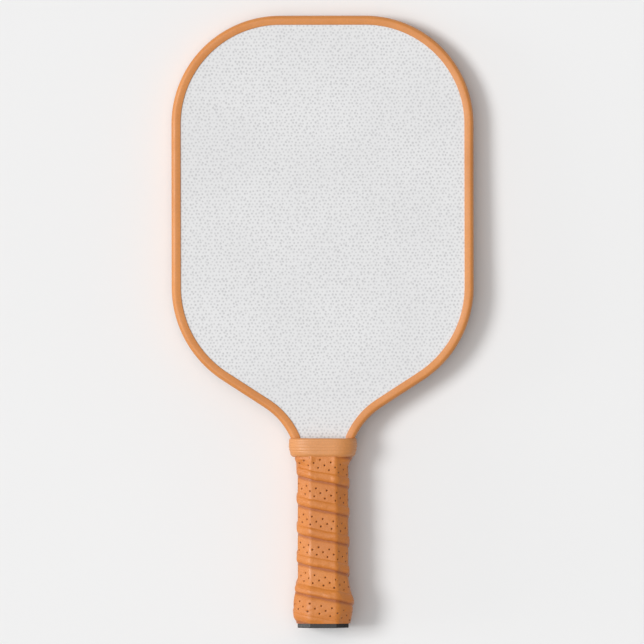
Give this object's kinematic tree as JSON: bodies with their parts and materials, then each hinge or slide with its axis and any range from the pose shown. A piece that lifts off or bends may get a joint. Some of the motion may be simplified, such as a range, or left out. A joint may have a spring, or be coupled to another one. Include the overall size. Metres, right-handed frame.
{
  "type": "pickleball paddle",
  "caption": "Flat honeycomb-cored paddle with a rounded rectangular blade, a raised edge guard, and an octagonal handle with a spirally wound grip, a flared butt and a throat collar.",
  "frame": {"origin": "centre of the butt cap's flat end, on the handle's axis, midway between the two faces", "axes": "+Y runs from the butt to the tip, +Z is the normal of the front face, +X runs across the face to the right seen from the front"},
  "size_m": [0.2006, 0.4064, 0.036],
  "materials": {
    "core_plastic": "matte",
    "adhesive": "satin",
    "face_laminate": "satin",
    "face_print": "satin, with fine grey dots",
    "guard_rubber": "satin",
    "collar_rubber": "satin",
    "pallet_wood": "bare",
    "cap_plastic": "matte, fine grain",
    "badge_plastic": "gloss",
    "staple_steel": "bright",
    "grip_tape": "matte, perforated",
    "finishing_tape": "satin"
  },
  "bodies": {
    "root": {"back_bond_film": "adhesive", "back_face_sheet": "face_laminate", "back_graphic_film": "face_print", "butt_cap": "cap_plastic", "butt_cap_badge": "badge_plastic", "butt_cap_staples": "staple_steel", "edge_guard": "guard_rubber", "edge_guard_adhesive": "adhesive", "finishing_tape": "finishing_tape", "front_bond_film": "adhesive", "front_face_sheet": "face_laminate", "front_graphic_film": "face_print", "grip_tape": "grip_tape", "handle_pallet_back": "pallet_wood", "handle_pallet_front": "pallet_wood", "honeycomb_core": "core_plastic", "pallet_adhesive_back": "adhesive", "pallet_adhesive_front": "adhesive", "throat_collar": "collar_rubber"}
  },
  "joints": []
}
